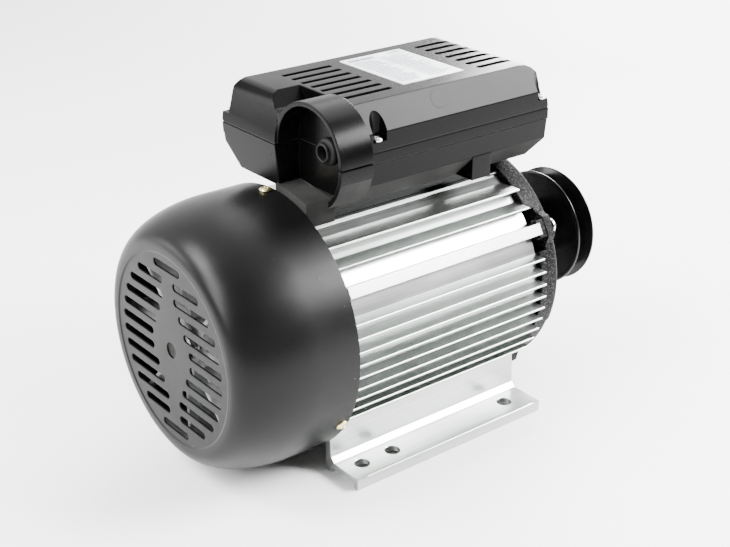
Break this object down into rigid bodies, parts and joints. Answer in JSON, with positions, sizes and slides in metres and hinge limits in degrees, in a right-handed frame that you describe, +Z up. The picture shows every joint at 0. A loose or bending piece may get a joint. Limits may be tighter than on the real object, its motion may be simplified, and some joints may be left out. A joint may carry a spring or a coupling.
{
  "type": "foot-mounted single-phase electric motor",
  "caption": "Foot-mounted fan-cooled induction motor with finned housing, black fan cover, capacitor box on top and a single-groove belt pulley on its shaft.",
  "frame": {"origin": "on the floor plane under the shaft axis, at the middle of the 125 mm foot-hole pattern", "axes": "+X along the shaft towards the drive end, +Z up, +Y across the feet"},
  "size_m": [0.3335, 0.174, 0.2395],
  "materials": {
    "extruded_aluminium": "satin extruded aluminium",
    "cover_paint": "semi-gloss black paint on pressed steel sheet",
    "black_casting": "rough sand casting, painted black",
    "pulley_paint": "turned casting with gloss black paint",
    "bare_casting": "bare die-cast aluminium",
    "black_moulding": "black moulded plastic with fine texture",
    "fan_moulding": "pale grey moulded plastic",
    "rubber_black": "black rubber",
    "machined_steel": "ground steel",
    "bright_screws": "bright zinc plate",
    "yellow_screws": "yellow passivated zinc plate",
    "bearing_steel": "polished bearing steel",
    "spring_steel": "spring steel",
    "flyweight_zinc": "die-cast zinc alloy",
    "core_steel": "stacked electrical steel",
    "copper_coils": "varnished copper wire",
    "brass_contacts": "brass",
    "nylon": "natural nylon",
    "phenolic": "moulded phenolic",
    "capacitor_black": "gloss black case",
    "capacitor_white": "gloss white case",
    "lead_sleeving": "red sleeving",
    "label_foil": "pale grey foil with a printed border"
  },
  "bodies": {
    "stator": {"stator_housing": "extruded_aluminium", "front_endshield": "black_casting", "rear_endshield": "bare_casting", "front_shield_screws": "bright_screws", "rear_shield_screws": "bright_screws", "stator_core": "core_steel", "main_winding": "copper_coils", "start_winding": "copper_coils", "fan_cover": "cover_paint", "fan_cover_screws": "yellow_screws", "front_bearing_outer": "bearing_steel", "rear_bearing_outer": "bearing_steel", "preload_washer": "spring_steel", "shaft_seal": "rubber_black", "switch_board": "phenolic", "box_base": "black_moulding", "box_lid": "black_moulding", "box_gasket": "rubber_black", "lid_screws": "bright_screws", "box_screws": "bright_screws", "earth_screw": "yellow_screws", "start_capacitor": "capacitor_black", "run_capacitor": "capacitor_white", "capacitor_straps": "bright_screws", "terminal_block": "phenolic", "terminal_studs": "brass_contacts", "cable_gland": "rubber_black", "lead_grommet": "rubber_black", "winding_leads": "lead_sleeving", "rating_label": "label_foil"},
    "rotor": {"shaft": "machined_steel", "rotor_core": "core_steel", "rotor_cage": "bare_casting", "cooling_fan": "fan_moulding", "fan_circlip": "spring_steel", "front_bearing_inner": "bearing_steel", "rear_bearing_inner": "bearing_steel", "pulley": "pulley_paint", "pulley_key": "machined_steel", "pulley_set_screw": "spring_steel", "pulley_washer": "bright_screws", "pulley_bolt": "bright_screws", "governor_plate": "bright_screws", "governor_pins": "machined_steel", "governor_spring": "spring_steel"},
    "governor_sleeve": {"governor_collar": "nylon"},
    "upper_flyweight": {"upper_weight": "flyweight_zinc"},
    "lower_flyweight": {"lower_weight": "flyweight_zinc"},
    "contact_arm": {"switch_contact_arm": "brass_contacts"},
    "front_ball_set": {"front_bearing_balls": "bearing_steel", "front_bearing_cage": "nylon"},
    "rear_ball_set": {"rear_bearing_balls": "bearing_steel", "rear_bearing_cage": "nylon"}
  },
  "joints": [
    {"name": "rotor_spin", "type": "hinge", "parent": "stator", "child": "rotor", "pos_m": [0, 0, 0.09], "axis": [1, 0, 0], "continuous": true},
    {"name": "governor_slide", "type": "slide", "parent": "rotor", "child": "governor_sleeve", "axis": [1, 0, 0], "range_m": [0, 0.003], "stiffness_N_per_m": 400, "springref_m": -0.002, "deforming": ["governor_spring"]},
    {"name": "upper_weight_swing", "type": "hinge", "parent": "rotor", "child": "upper_flyweight", "pos_m": [-0.069, 0, 0.113], "axis": [0, 1, 0], "range_deg": [-28, 0]},
    {"name": "lower_weight_swing", "type": "hinge", "parent": "rotor", "child": "lower_flyweight", "pos_m": [-0.069, 0, 0.067], "axis": [0, 1, 0], "range_deg": [0, 28]},
    {"name": "contact_arm_swing", "type": "hinge", "parent": "stator", "child": "contact_arm", "pos_m": [-0.081, 0, 0.136], "axis": [0, 1, 0], "range_deg": [-6.5, 0]},
    {"name": "front_balls_spin", "type": "hinge", "parent": "stator", "child": "front_ball_set", "pos_m": [0.1015, 0, 0.09], "axis": [1, 0, 0], "continuous": true},
    {"name": "rear_balls_spin", "type": "hinge", "parent": "stator", "child": "rear_ball_set", "pos_m": [-0.0975, 0, 0.09], "axis": [1, 0, 0], "continuous": true}
  ],
  "couplings": [
    {"joint": "upper_weight_swing", "follows": "governor_slide", "rad_per_m": -159.1},
    {"joint": "lower_weight_swing", "follows": "governor_slide", "rad_per_m": 159.1},
    {"joint": "contact_arm_swing", "follows": "governor_slide", "rad_per_m": -36.67},
    {"joint": "front_balls_spin", "follows": "rotor_spin", "ratio": 0.3969},
    {"joint": "rear_balls_spin", "follows": "rotor_spin", "ratio": 0.3969}
  ]
}
